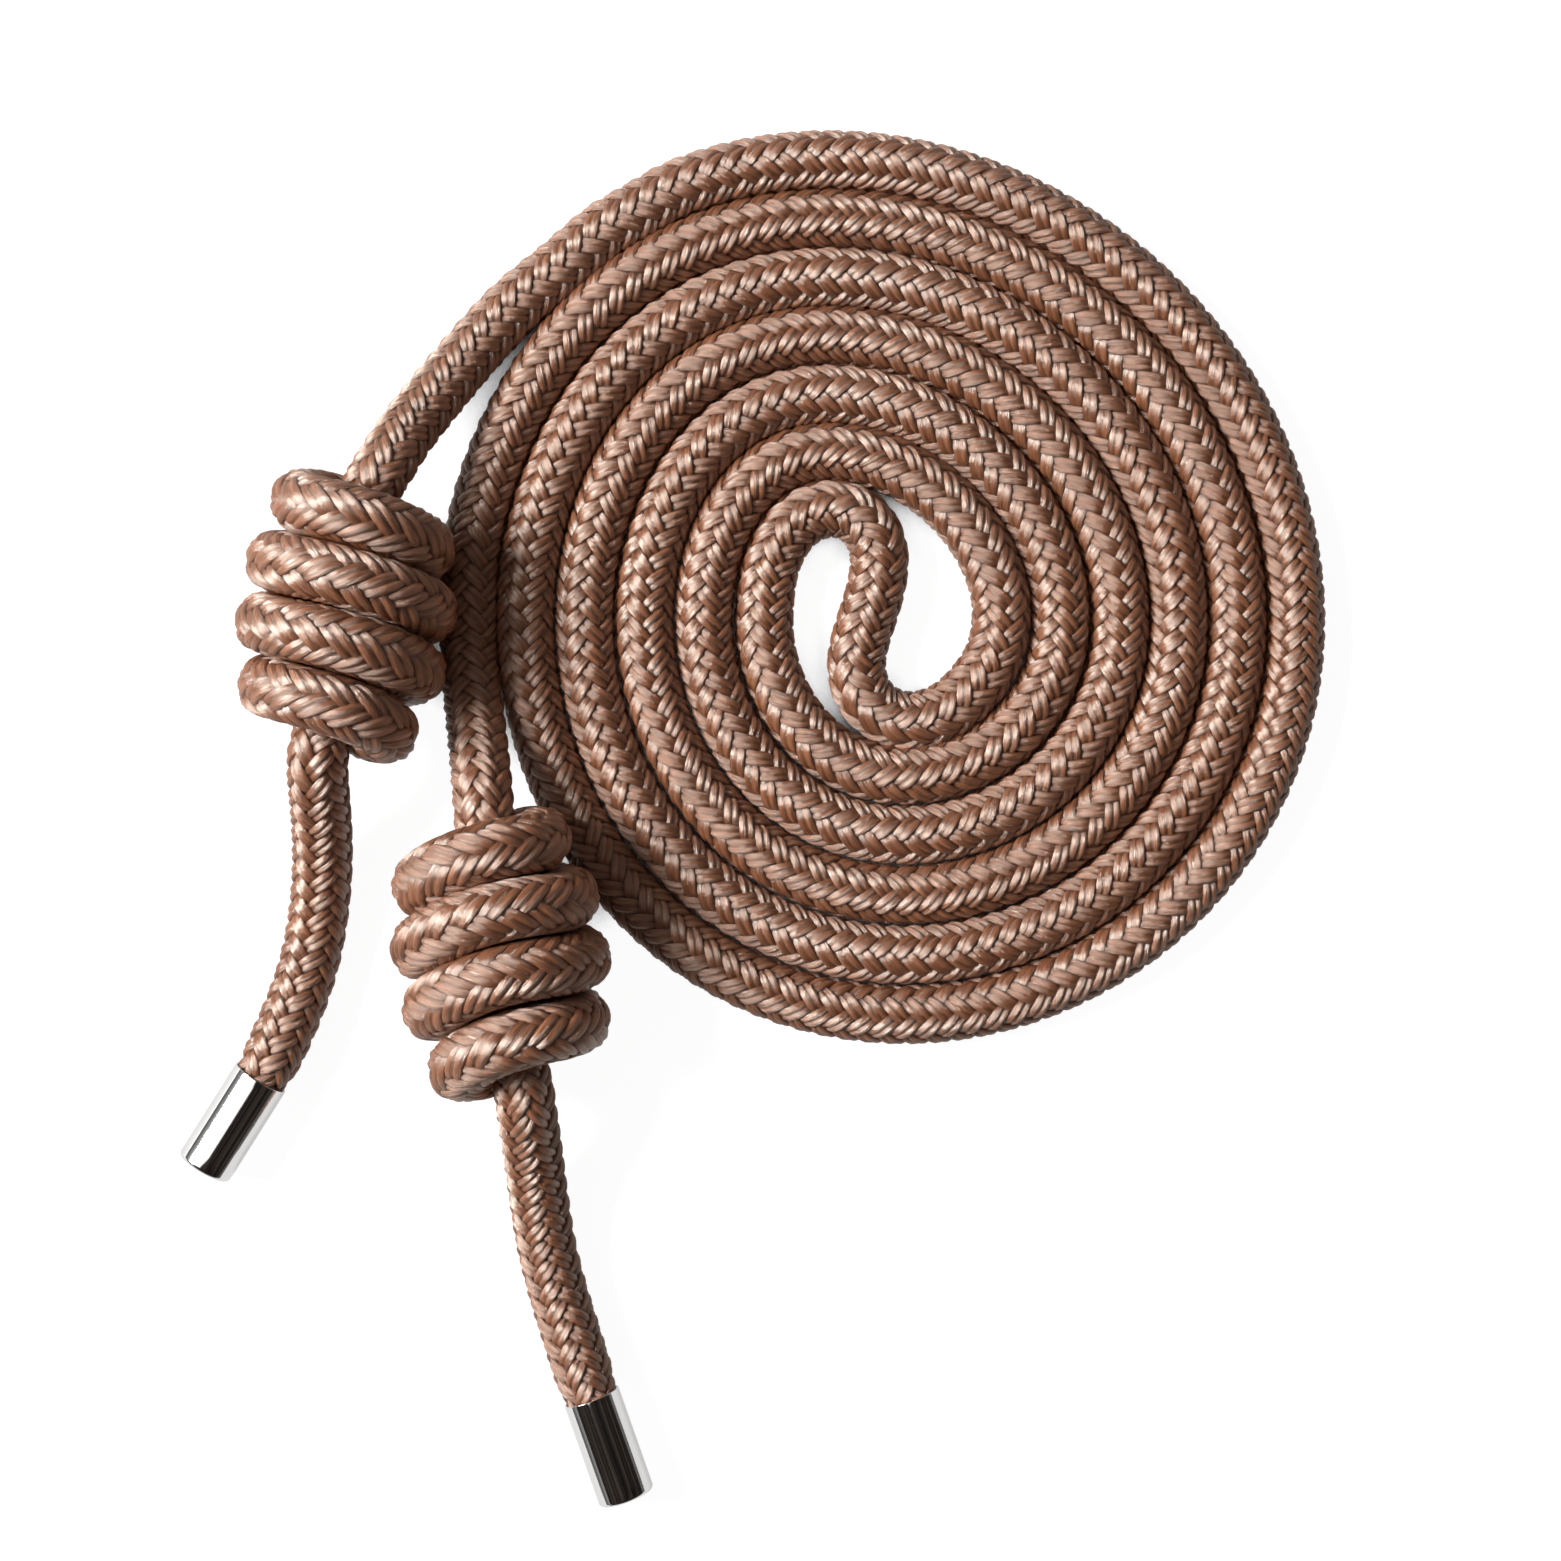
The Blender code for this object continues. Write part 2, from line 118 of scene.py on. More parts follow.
lower_tail_route = [
    (-0.0513, -0.0506, 0.0228), (-0.0502, -0.0545, 0.0223), (-0.0495, -0.0585, 0.0220),
    (-0.0491, -0.0629, 0.0205), (-0.0486, -0.0689, 0.0167), (-0.0481, -0.0762, 0.0120),
    (-0.0473, -0.0849, 0.0085), (-0.0459, -0.0951, 0.0062), (-0.0436, -0.1049, 0.0053),
    (-0.0408, -0.1139, 0.0056),
]
straight_run = 0.0050
neck = 0.0030                           # the rope is drawn in over this length before its cap
neck_share = 0.86
tuck = 0.0208                           # the rope goes this far into its cap
cap_height = 0.0066
line_step = 0.0004
line_soften = 0.0012                    # the line is softened over about this length
lifted_from = 0.002                     # the rope no longer presses on its neighbours this far up
upper_cap = (-0.1098, -0.0575), math.radians(237.8)
lower_cap = (-0.0358, -0.1289), math.radians(289.4)


def unit(vectors):
    return vectors / np.linalg.norm(vectors, axis=-1, keepdims=True)


def ease(share):
    """Zero to one, level at both ends: three squares less two cubes."""
    share = np.clip(share, 0, 1)
    return share * share * (3 - 2 * share)


def lengths_along(points):
    """How far along the line each of its points lies."""
    return np.concatenate([[0], np.cumsum(np.linalg.norm(np.diff(points, axis=0), axis=1))])


def smooth(points, before, after):
    """A close row of points on cubic curves through these, whose slopes weigh the spans beside them."""
    points = np.vstack([before, points, after])
    spans = np.sqrt(np.linalg.norm(np.diff(points, axis=0), axis=1))[:, None]
    slopes = np.diff(points, axis=0) / spans
    tangents = (slopes[:-1] * spans[1:] + slopes[1:] * spans[:-1]) / (spans[:-1] + spans[1:])
    u = np.linspace(0, 1, points_per_span, endpoint=False)[:, None, None]
    start, end, span = points[1:-2], points[2:-1], spans[1:-1]
    curve = ((2 * u**3 - 3 * u**2 + 1) * start + (u**3 - 2 * u**2 + u) * span * tangents[:-1]
             + (3 * u**2 - 2 * u**3) * end + (u**3 - u**2) * span * tangents[1:])
    return np.vstack([curve.transpose(1, 0, 2).reshape(-1, 3), points[-2]])


def arm(turned, offset):
    """A line whose reach from the coil's centre, square to it, falls by a pitch each half turn.

    The point at an angle is the reach along it, less the reach's own slope across it. An oval, an egg
    and a slow drift of the centre bend the turns as the rope was laid.
    """
    half_turns = turned / math.pi + offset
    inwards = 3 - half_turns
    oval, egg, drift = turned - oval_angle, turned - egg_angle, turned - drift_angle
    reach = (outer_reach_share - half_turns + oval_share * np.cos(2 * oval)
             + egg_share * np.cos(3 * egg) + drift_share * inwards * np.cos(drift))
    growth = (-1 / math.pi - 2 * oval_share * np.sin(2 * oval) - 3 * egg_share * np.sin(3 * egg)
              - drift_share * (inwards * np.sin(drift) + np.cos(drift) / math.pi))
    x = coil_centre[0] + strand_pitch * (reach * np.cos(turned) - growth * np.sin(turned))
    y = coil_centre[1] - strand_pitch * (reach * np.sin(turned) + growth * np.cos(turned))
    return np.stack([x, y, np.full_like(x, lying_height)], axis=1)


def outer_end(turned, offset):
    """One diameter straight on from an arm's outer end."""
    heading = turned - ring_step / 2
    start = arm(np.array([turned]), offset)[0]
    return start + rope_diameter * np.array([math.sin(heading), math.cos(heading), 0])


def coil_line():
    """Both arms with the fold between them."""
    first = arm(np.arange(*first_arm, fine_step), 0)
    second = arm(np.arange(*second_arm, fine_step), 1)[::-1]
    heart = [(coil_centre[0] + strand_pitch * x, coil_centre[1] + strand_pitch * y, lying_height)
             for x, y in heart_shares]
    inner = arm(np.array([first_arm[1] - ring_step, first_arm[1]]), 0)
    outer = arm(np.array([second_arm[1], second_arm[1] - ring_step]), 1)
    fold = smooth(np.vstack([inner[1], heart, outer[0]]), inner[0], outer[1])
    start, end = outer_end(first_arm[0], 0), outer_end(second_arm[0], 1)
    return np.vstack([start, first, fold, second, end])


def wrap_point(angle):
    """The wraps in the knot's own frame: u along it to the tail, v sideways, w up.

    A helix of four turns on a barrel, whose sides bulge by a parabola along the knot.
    """
    u = ((wraps - 1) / 2 - (angle - math.pi / 2) / math.tau) * wrap_pitch
    half_length = ((wraps - 1) / 2 + (90 - turn_in_degrees) / 360) * wrap_pitch
    bulge = 1 - (u / half_length) ** 2
    return np.stack([u, (end_reach + belly * bulge) * np.cos(angle),
                     (end_reach + belly_height * bulge) * np.sin(angle)], axis=-1)


def turn_in():
    """From the mouth at the tail's end round into the end wrap, and how thick the rope is there.

    Seen along the knot it is one arc, square to the wrap's heading. Along the knot it is a cubic.
    """
    first_angle = math.radians(turn_in_degrees)
    start = np.array([mouth_offset, 0, -pass_offset])
    end, beyond = wrap_point(first_angle + np.radians([0, 1]))
    heading = unit((beyond - end)[1:])
    outwards = np.array([heading[1], -heading[0]])
    chord = (start - end)[1:]
    radius = -(chord @ chord) / (2 * chord @ outwards)
    centre = end[1:] - radius * outwards
    first = math.atan2(start[2] - centre[1], start[1] - centre[0]) % math.tau
    last = math.atan2(outwards[1], outwards[0]) % math.tau + math.tau
    t = np.linspace(0, 1, 80)
    angle = first + (last - first) * t
    settle = -wrap_pitch * (last - first) / math.tau
    u = ((2 * t**3 - 3 * t**2 + 1) * start[0] + (t**3 - 2 * t**2 + t) * turn_in_rush
         + (3 * t**2 - 2 * t**3) * end[0] + (t**3 - t**2) * settle)
    points = np.stack([u, centre[0] + radius * np.cos(angle), centre[1] + radius * np.sin(angle)], axis=1)
    swell = 1 - (1 - np.clip(t / turn_in_swell_share, 0, 1)) ** 2
    return points, squeezed_share + (1 - squeezed_share) * swell


def knot_line():
    """The knot in its own frame, from its seam with the lead to its seam with the tail.

    The rope goes through below its middle, turns in to the wraps, and comes back through above. The
    two passes change places half way. The second half is the first, turned half round, backwards.
    """
    stations = np.linspace(-seam_offset, mouth_offset, 60)
    angle = math.pi * (0.5 - ease(stations / twist_length + 0.5))
    down = np.stack([stations, pass_offset * np.cos(angle), pass_offset * np.sin(angle)], axis=1)
    round_in, swelling = turn_in()
    half = np.vstack([down[:-1], round_in])
    girth = np.concatenate([np.full(len(down) - 1, squeezed_share), swelling])
    first = math.radians(turn_in_degrees)
    last = math.tau * (wraps - 0.5) - first
    angles = np.arange(first, last, 2 * fine_step)
    around = wrap_point(angles)
    points = np.vstack([half, around[1:], half[::-1] * (-1, -1, 1)])
    girth = np.concatenate([girth, np.ones(len(around) - 1), girth[::-1]])
    swollen = ease((girth[:len(half)] - turn_in_plump_from) / (1 - turn_in_plump_from))
    plump = np.concatenate([swollen, np.ones(len(around) - 1), swollen[::-1]])
    return points, girth, plump


def placed(points, knot):
    """Points of a knot's own frame in the part's frame."""
    middle, heading, hand = knot
    along = np.array([math.cos(heading), math.sin(heading), 0])
    across = hand * np.array([-math.sin(heading), math.cos(heading), 0])
    return np.array([*middle, knot_height]) + points @ np.array([along, across, (0, 0, 1)])


def free_stretch(knot, side, route, near, end):
    """From a knot's seam along the route to its end, and how thick the rope is there.

    The rope thickens again along the first centimetre by the easing curve.
    """
    stations = np.linspace(seam_offset, mouth_offset, 9)
    start = placed(np.stack([side * stations, 0 * stations, pass_offset + 0 * stations], axis=1), knot)
    curve = smooth(np.vstack([start[-1], route, near]), start[-2], end)
    points = np.vstack([start[:-1], curve, end])
    from_mouth = lengths_along(points) - (mouth_offset - seam_offset)
    return points, squeezed_share + (1 - squeezed_share) * ease((from_mouth - exit_delay) / exit_swell)


def rope_end(knot, arch, lead_route, tail_route, coil_end, beyond, cap):
    """From the coil's end to the cap: points, thickness, plumpness and the knot's own direction.

    On top, the wraps arch towards the lead by the square of their height in the knot.
    """
    near = coil_end + straight_run * unit(coil_end - beyond)
    lead, lead_girth = free_stretch(knot, -1, lead_route, near, coil_end)
    own, knot_girth, plump = knot_line()
    own[:, 0] -= arch * np.clip(own[:, 2] / (end_reach + belly_height), 0, 1) ** 2
    mouth, heading = cap
    inwards = np.array([math.cos(heading), math.sin(heading), 0])
    mouth = np.array([*mouth, cap_height])
    tail, tail_girth = free_stretch(knot, 1, tail_route, mouth - neck * inwards, mouth)
    drawn = ease((lengths_along(tail) - lengths_along(tail)[-1] + 2 * neck) / (2 * neck))
    tail_girth = tail_girth * (1 - (1 - neck_share) * drawn)
    inside = mouth + np.linspace(0, tuck, 12)[1:, None] * inwards
    in_cap = np.full(len(inside), neck_share)
    points = np.vstack([lead[::-1], placed(own, knot)[1:], tail[1:], inside])
    girth = np.concatenate([lead_girth[::-1], knot_girth[1:], tail_girth[1:], in_cap])
    plump = np.concatenate([np.zeros(len(lead)), plump[1:], np.zeros(len(tail) - 1 + len(inside))])
    axis = plump[:, None] * np.array([math.cos(knot[1]), math.sin(knot[1]), 0])
    return np.hstack([points, girth[:, None], plump[:, None], axis])


def evened(table, step, soften):
    """The same line at even steps, each value softened by a bell-shaped average of its neighbours."""
    along = lengths_along(table[:, :3])
    kept = np.concatenate([[True], np.diff(along) > step / 50])     # repeated points are dropped
    stations = np.linspace(0, along[-1], round(along[-1] / step))
    even = np.stack([np.interp(stations, along[kept], column[kept]) for column in table.T], axis=1)
    reach = math.ceil(3 * soften / step)
    weights = np.exp(-0.5 * (np.arange(-reach, reach + 1) * step / soften) ** 2)
    weights /= weights.sum()
    before = 2 * even[0] - even[reach:0:-1]
    after = 2 * even[-1] - even[-2:-reach - 2:-1]
    padded = np.vstack([before, even, after])
    return np.stack([np.convolve(column, weights, "valid") for column in padded.T], axis=1)


def level_frame(points):
    """Directions along the line, and across it without twist: each is the last, turned as the line turns.

    The turn is found for the whole line at once, as the running sum of the small angles by which an
    upright frame twists against the line between one point and the next.
    """
    along = unit(np.gradient(points, axis=0))
    steep = np.abs(along[:, 2:]) > 0.75
    across = unit(np.cross(np.where(steep, (0.0, 1.0, 0.0), (0.0, 0.0, 1.0)), along))
    up = np.cross(along, across)
    here, there = along[:-1], along[1:]
    lean = np.sum(across[:-1] * there, axis=1) / (1 + np.sum(here * there, axis=1))
    carried = across[:-1] - lean[:, None] * (here + there)
    step = np.arctan2(np.sum(carried * up[1:], axis=1), np.sum(carried * across[1:], axis=1))
    twist = np.concatenate([[0], np.cumsum(step)])[:, None]
    return along, np.cos(twist) * across + np.sin(twist) * up


coil = coil_line()
upper_end = rope_end(
    upper_knot, upper_arch, upper_lead_route, upper_tail_route, coil[0], coil[1], upper_cap)
lower_end = rope_end(
    lower_knot, lower_arch, lower_lead_route, lower_tail_route, coil[-1], coil[-2], lower_cap)
coil_table = np.hstack([coil, np.ones((len(coil), 1)), np.zeros((len(coil), 4))])
line = evened(np.vstack([upper_end[::-1], coil_table[1:-1], lower_end]), line_step, line_soften)
line_points, girth, plump, knot_axis = line[:, :3], line[:, 3], line[:, 4], line[:, 5:]
heading, across = level_frame(line_points)
stations = lengths_along(line_points)
lies = np.clip((lying_height + lifted_from - line_points[:, 2]) / lifted_from, 0, 1) * (1 - plump)
rope_length = float(stations[-1])


def at(where, values):
    """Values of the rope's line at these distances along it, between its points."""
    return np.stack([np.interp(where, stations, column) for column in np.atleast_2d(values.T)], axis=-1)


def round_the_line(where, angle, radius):
    """Points at this angle and radius round the rope's line, pressed flat where something is beside it.

    On the floor the radius ends where it meets the floor, and in the coil halfway to the next strand.
    In a knot it nears half a wrap's width by an eighth-power mean, so the flat places have no edges.
    """
    along = at(where, heading)
    side = at(where, across)
    side = unit(side - np.sum(side * along, axis=-1, keepdims=True) * along)
    up = np.cross(along, side)
    outwards = np.cos(angle)[..., None] * side + np.sin(angle)[..., None] * up
    middle = at(where, line_points)
    down = np.maximum(-outwards[..., 2], 1e-6)
    radius = np.minimum(radius, (middle[..., 2] - floor_clearance) / down)
    beside = np.maximum(np.abs(np.sum(outwards * at(where, knot_axis), axis=-1)), 1e-6)
    pressed = radius * beside / wrap_half_width
    radius = radius / (1 + pressed**flat_power) ** (1 / flat_power)
    level = np.hypot(outwards[..., 0], outwards[..., 1])
    lying = at(where, lies)[..., 0]
    radius = np.minimum(radius, strand_half_width / np.maximum(level * lying, 1e-6))
    return middle + radius[..., None] * outwards


def tube_mesh(name, rings, painted_shade_openness=None):
    """A closed tube of four-sided faces over rings of points, with a flat face on each end.

    The first map runs the rings' lengths in metres against shares of the way round. The second folds
    the tube's length into rows that fill the square, with the two end faces in one more row above
    them. A point's openness, from 0 to 1, is kept as an attribute, from which the material paints shade.
    """
    count, around = rings.shape[:2]
    ring = np.arange(count - 1)[:, None]
    spot = np.arange(around)[None]
    after = (spot + 1) % around
    faces = np.stack([ring * around + spot, (ring + 1) * around + spot,
                      (ring + 1) * around + after, ring * around + after], axis=-1).reshape(-1, 4)
    lids = np.stack([np.arange(around), (count * around - 1) - np.arange(around)])
    loops = np.concatenate([faces.ravel(), lids.ravel()])
    sizes = np.concatenate([np.full(len(faces), 4), np.full(2, around)])
    mesh = bpy.data.meshes.new(name)
    mesh.vertices.add(count * around)
    mesh.vertices.foreach_set("co", rings.reshape(-1).astype(np.float32))
    mesh.loops.add(len(loops))
    mesh.loops.foreach_set("vertex_index", loops.astype(np.int32))
    mesh.polygons.add(len(sizes))
    mesh.polygons.foreach_set("loop_start", np.concatenate([[0], np.cumsum(sizes)[:-1]]).astype(np.int32))
    mesh.update(calc_edges=True)
    mesh.polygons.foreach_set("use_smooth", np.concatenate([np.ones(len(faces), bool), [False] * 2]))

    lengths = lengths_along(rings.mean(axis=1))
    along = np.stack([lengths[ring], lengths[ring + 1], lengths[ring + 1], lengths[ring]], axis=-1)
    along = np.broadcast_to(along, (count - 1, around, 4))
    share = np.stack([spot, spot, spot + 1, spot + 1], axis=-1) / around
    share = np.broadcast_to(share, (count - 1, around, 4))
    weave = np.stack([along, share], axis=-1).reshape(-1, 2)
    turned = np.linspace(0, math.tau, around, endpoint=False)
    lid_share = 0.5 + 0.5 * np.stack([np.cos(turned), np.sin(turned)], axis=1)
    weave = np.vstack([weave, lid_share * lid_size, lengths[-1] + lid_share * lid_size])
    per_row = math.ceil((count - 1) / strip_rows)
    row = ring // per_row
    left = (ring % per_row) / per_row
    right = (ring % per_row + 1) / per_row
    across_row = np.stack([left, right, right, left], axis=-1)
    across_row = strip_margin + (1 - 2 * strip_margin) * np.broadcast_to(across_row, share.shape)
    up_row = (row[..., None] + row_margin + (1 - 2 * row_margin) * share) / (strip_rows + 1)
    bake = np.stack([across_row, up_row], axis=-1).reshape(-1, 2)
    lid_row = (strip_rows + 0.1 + 0.8 * lid_share[:, 1]) / (strip_rows + 1)
    lid_left = np.stack([0.02 + 0.04 * lid_share[:, 0], lid_row], axis=1)
    bake = np.vstack([bake, lid_left, lid_left + (0.1, 0)])
    for map_name, places in (("weave", weave), ("OFBake", bake)):
        layer = mesh.uv_layers.new(name=map_name, do_init=False)
        layer.data.foreach_set("uv", places.ravel().astype(np.float32))
    if painted_shade_openness is not None:
        painted_shade_layer = mesh.attributes.new("painted_shade_openness", "FLOAT", "POINT")
        painted_shade_layer.data.foreach_set("value", painted_shade_openness.ravel().astype(np.float32))
    return mesh


def add_piece(name, mesh, material):
    """An object of the part, on its one body."""
    made = bpy.data.objects.new(name, mesh)
    bpy.context.scene.collection.objects.link(made)
    mesh.materials.append(material)
    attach(made, "root")
    return made


def node_adder(tree):
    """A function that adds a node to this tree, with its inputs set or joined."""
    def add(kind, inputs=(), **settings):
        node = tree.nodes.new(kind)
        for setting, value in settings.items():
            setattr(node, setting, value)
        for socket, value in dict(inputs).items():
            if isinstance(value, bpy.types.NodeSocket):
                tree.links.new(value, node.inputs[socket])
            else:
                node.inputs[socket].default_value = value
        return node

    return add


def new_material(name, values):
    """A material whose Principled shader has these values, and the means to add and join nodes."""
    material = bpy.data.materials.new(name)
    material.use_nodes = True
    tree = material.node_tree
    shader = tree.nodes["Principled BSDF"]
    for socket, value in values.items():
        shader.inputs[socket].default_value = value
    return material, tree, shader, node_adder(tree)


def set_ramp(ramp, *stops):
    """Places and colours of a colour ramp's two stops."""
    for element, (position, colour) in zip(ramp.color_ramp.elements, stops):
        element.position = position
        element.color = colour


floor_clearance = 0.0002
wrap_half_width = 0.00690
strand_half_width = 0.00668
flat_power = 8
strip_rows = 20                         # rows that the second map folds a piece's length into
strip_margin = 0.004
row_margin = 0.06
lid_size = 0.0032                       # the end faces in the first map
core_share = 0.71                       # the core's thickness, of the rope's
core_sides = 12
core_step = 0.0030
core_setback = 0.0002                   # from the braid's ends

core_yarn, tree, shader, add = new_material("core_yarn", {"Roughness": 0.8})
weave = add("ShaderNodeUVMap", uv_map="weave")
stretched = add("ShaderNodeMapping", {0: weave.outputs[0], "Scale": (60, 40, 1)})
yarns = add("ShaderNodeTexNoise", {"Vector": stretched.outputs[0], "Scale": 1.0, "Detail": 3.0})
shade = add("ShaderNodeValToRGB", {0: yarns.outputs["Fac"]})
set_ramp(shade, (0, (0.05, 0.025, 0.018, 1)), (1, (0.16, 0.085, 0.06, 1)))
tree.links.new(shade.outputs["Color"], shader.inputs["Base Color"])

core_count = round(rope_length / core_step)
core_stations = np.linspace(core_setback, rope_length - core_setback, core_count)
core_angles = np.linspace(0, -math.tau, core_sides, endpoint=False)
core_radius = core_share * rope_radius * at(core_stations, girth)[:, 0]
core_rings = round_the_line(
    *np.broadcast_arrays(core_stations[:, None], core_angles, core_radius[:, None]))
core = add_piece("rope_core", tube_mesh("rope_core", core_rings), core_yarn)
stretch_names = ("coil", "upper_lead", "upper_knot", "upper_tail", "lower_lead", "lower_knot", "lower_tail")
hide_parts(*["cover_" + name for name in stretch_names], *["core_" + name for name in stretch_names])


# Braided cover
# Sixteen carriers of bright polyester, each a flat pair of plies, braided over the core, two over and
# two under. Eight run round to the right and eight to the left, each from cap to cap.
carriers = 8                            # each way
crossings_a_turn = 2 * carriers
braid_radius = 0.0054                   # to the middle of the braid
crimp = 0.00088                         # how far a carrier rises and dives
carrier_thickness = 0.00120
carrier_fill = 1.04
dive_share = 0.09                       # how much steeper it dives than a plain wave
free_lead = 0.0390                      # one full round of a carrier, along the rope
wrap_lead = 0.0400
hidden_lead = 0.0800
hidden_below, hidden_within = 0.8, 0.3  # shares of thickness at which the long lead sets in
samples = 3                             # between one crossing and the next
end_margin = 0.02                       # in crossings, from the line's ends
roll_places = [                         # metres along the rope, and degrees that the braid has rolled
    (0.50, 4), (0.62, 2), (0.70, -9), (0.78, -11), (0.92, -19), (1.03, -4), (1.20, 9), (1.34, -5),
    (1.50, 4), (1.80, 19), (2.00, 8), (2.12, 4), (2.24, 11), (2.38, 0), (2.50, -2), (2.66, 16),
    (2.80, -5), (2.90, 3),
]
plump_share = 0.18
flatter_share = 0.25                    # how much flatter the braid lies in the knots' wraps
# how much less openly a carrier's edges lie, which paints shade on them
edge_shade = 0.35
profile_shares = [                      # across the carrier, and up from its middle
    (-1.00, -0.16), (-0.86, 0.26), (-0.50, 0.50), (-0.16, 0.30), (0.00, 0.00), (0.16, 0.30),
    (0.50, 0.50), (0.86, 0.26), (1.00, -0.16), (0.60, -0.50), (-0.60, -0.50),
]

slim = np.clip((hidden_below - girth) / hidden_within, 0, 1)
lead_here = free_lead + (wrap_lead - free_lead) * plump + (hidden_lead - free_lead) * slim
turns = np.concatenate([[0], np.cumsum(np.diff(stations) / lead_here[1:])])
crossings = np.arange(end_margin, crossings_a_turn * turns[-1] - end_margin, 1 / samples)
carrier_stations = np.interp(crossings / crossings_a_turn, turns, stations)


def carrier(hand, number):
    """One carrier: a ribbon of two plies wound round the rope's line, rising and diving as it crosses.

    It turns by a sixteenth at each crossing. Its middle rises by a cosine with a period of four
    crossings, less a little of one three times as quick, which steepens the dives. One hand is up
    where the other is down. Points across it lie square to it on the rope's unrolled surface.
    """
    wrapped = at(carrier_stations, plump)[:, 0]
    scale = at(carrier_stations, girth)[:, 0] * (1 + plump_share * wrapped)
    reach = braid_radius * scale
    lead_there = at(carrier_stations, lead_here)[:, 0]
    slope = np.arctan2(math.tau * reach, lead_there)
    half_width = carrier_fill * math.pi * reach / carriers * np.cos(slope)
    rolled = np.radians(np.interp(carrier_stations, *np.array(roll_places).T))
    angle = hand * math.tau * crossings / crossings_a_turn + math.tau * number / carriers + rolled
    first_crossing = -0.5 if hand > 0 else 2.5
    wave = math.tau * (crossings + hand * 2 * number + first_crossing) / 4
    rise = np.cos(wave) - dive_share * np.cos(3 * wave)
    sideways, upwards = np.array(profile_shares).T
    offset = half_width[:, None] * sideways
    where = carrier_stations[:, None] - hand * offset * np.sin(slope)[:, None]
    turned = angle[:, None] + offset * np.cos(slope)[:, None] / reach[:, None]
    height = (reach + crimp * (1 - flatter_share * wrapped) * scale * rise)[:, None]
    height = height + carrier_thickness * scale[:, None] * upwards
    # How openly each point lies: one on a float's crown, less at its edges, nought in its dives. The
    # material paints shade from it.
    painted_shade_openness = (0.5 + 0.5 * np.cos(wave))[:, None] * (1 - edge_shade * sideways**4)
    return round_the_line(np.clip(where, 0, rope_length), turned, height), painted_shade_openness


polyester, tree, shader, add = new_material("braided_polyester", {
    "Anisotropic": 0.88, "Anisotropic Rotation": 0.25, "Roughness": 0.37, "IOR": 1.75,
    "Specular IOR Level": 1.0, "Specular Tint": (1.0, 0.91, 0.81, 1)})
weave = add("ShaderNodeUVMap", uv_map="weave")
fibre_map = add("ShaderNodeMapping", {0: weave.outputs[0], "Scale": (260, 22, 1)})
fibres = add("ShaderNodeTexNoise", {"Vector": fibre_map.outputs[0], "Scale": 1.0, "Detail": 4.0,
                                    "Roughness": 0.65})
patch_map = add("ShaderNodeMapping", {0: weave.outputs[0], "Scale": (110, 6, 1)})
patches = add("ShaderNodeTexNoise", {"Vector": patch_map.outputs[0], "Scale": 1.0, "Detail": 2.0})
mixed = add("ShaderNodeMath", {0: fibres.outputs["Fac"], 1: patches.outputs["Fac"]}, operation="ADD")
halved = add("ShaderNodeMath", {0: mixed.outputs[0], 1: 0.5}, operation="MULTIPLY")
tint = add("ShaderNodeValToRGB", {0: halved.outputs[0]})
set_ramp(tint, (0.36, (0.135, 0.045, 0.018, 1)), (0.64, (0.42, 0.163, 0.078, 1)))
# Painted shade: the colour turns a deep brown where a carrier dives under the others and towards its edges.
painted_shade_attribute = add("ShaderNodeAttribute", attribute_name="painted_shade_openness")
painted_shade_range = add("ShaderNodeMapRange", {"Value": painted_shade_attribute.outputs["Fac"], "From Min": 0.36, "From Max": 0.72})
painted_shade_mix = add("ShaderNodeMix", {"Factor": painted_shade_range.outputs["Result"], 6: (0.100, 0.026, 0.008, 1),
                              7: tint.outputs["Color"]}, data_type="RGBA")
tree.links.new(painted_shade_mix.outputs[2], shader.inputs["Base Color"])
bump = add("ShaderNodeBump", {"Height": fibres.outputs["Fac"], "Strength": 1.0, "Distance": 0.0006})
tree.links.new(bump.outputs["Normal"], shader.inputs["Normal"])
fibre_way = add("ShaderNodeTangent", direction_type="UV_MAP", uv_map="weave")
tree.links.new(fibre_way.outputs["Tangent"], shader.inputs["Tangent"])

for hand, label in ((1, "right"), (-1, "left")):
    for number in range(carriers):
        rings, painted_shade_openness = carrier(hand, number)
        name = "braid_%s_%d" % (label, number + 1)
        piece = add_piece(name, tube_mesh(name, rings, painted_shade_openness), polyester)


# End caps
# Drawn brass cups, chromed and polished, glued over the rope's cut ends.
cap_radius = 0.0064
cap_length = 0.0240
cap_wall = 0.0005
cap_end_wall = 0.0008
cap_edge = 0.0010                       # rounding round the closed end
mouth_edge = 0.00015                    # rounding of the mouth's rim
cap_sides = 160


def cup(cap):
    """A cup turned about the rope's end: quarter circles round its closed end and its rim."""
    quarter = np.linspace(0, math.pi / 2, 9)
    inner = cap_radius - cap_wall
    radii = np.concatenate([
        cap_radius - cap_edge * (1 - np.sin(quarter)), [cap_radius] * 3,
        cap_radius - mouth_edge * (1 - np.cos(quarter)), inner + mouth_edge * (1 - np.sin(quarter)),
        [inner, inner]])
    heights = np.concatenate([
        cap_length - cap_edge * (1 - np.cos(quarter)), [0.02, 0.01, 0.002],
        mouth_edge * (1 - np.sin(quarter)), mouth_edge * (1 - np.cos(quarter)),
        [0.01, cap_length - cap_end_wall]])
    mouth, heading = cap
    outwards = np.array([math.cos(heading), math.sin(heading), 0])
    side = np.array([-math.sin(heading), math.cos(heading), 0])
    turned = np.linspace(0, math.tau, cap_sides, endpoint=False)
    around = np.cos(turned)[:, None] * side + np.sin(turned)[:, None] * np.array([0, 0, 1.0])
    middle = np.array([*mouth, cap_height])
    return middle + heights[:, None, None] * outwards + radii[:, None, None] * around


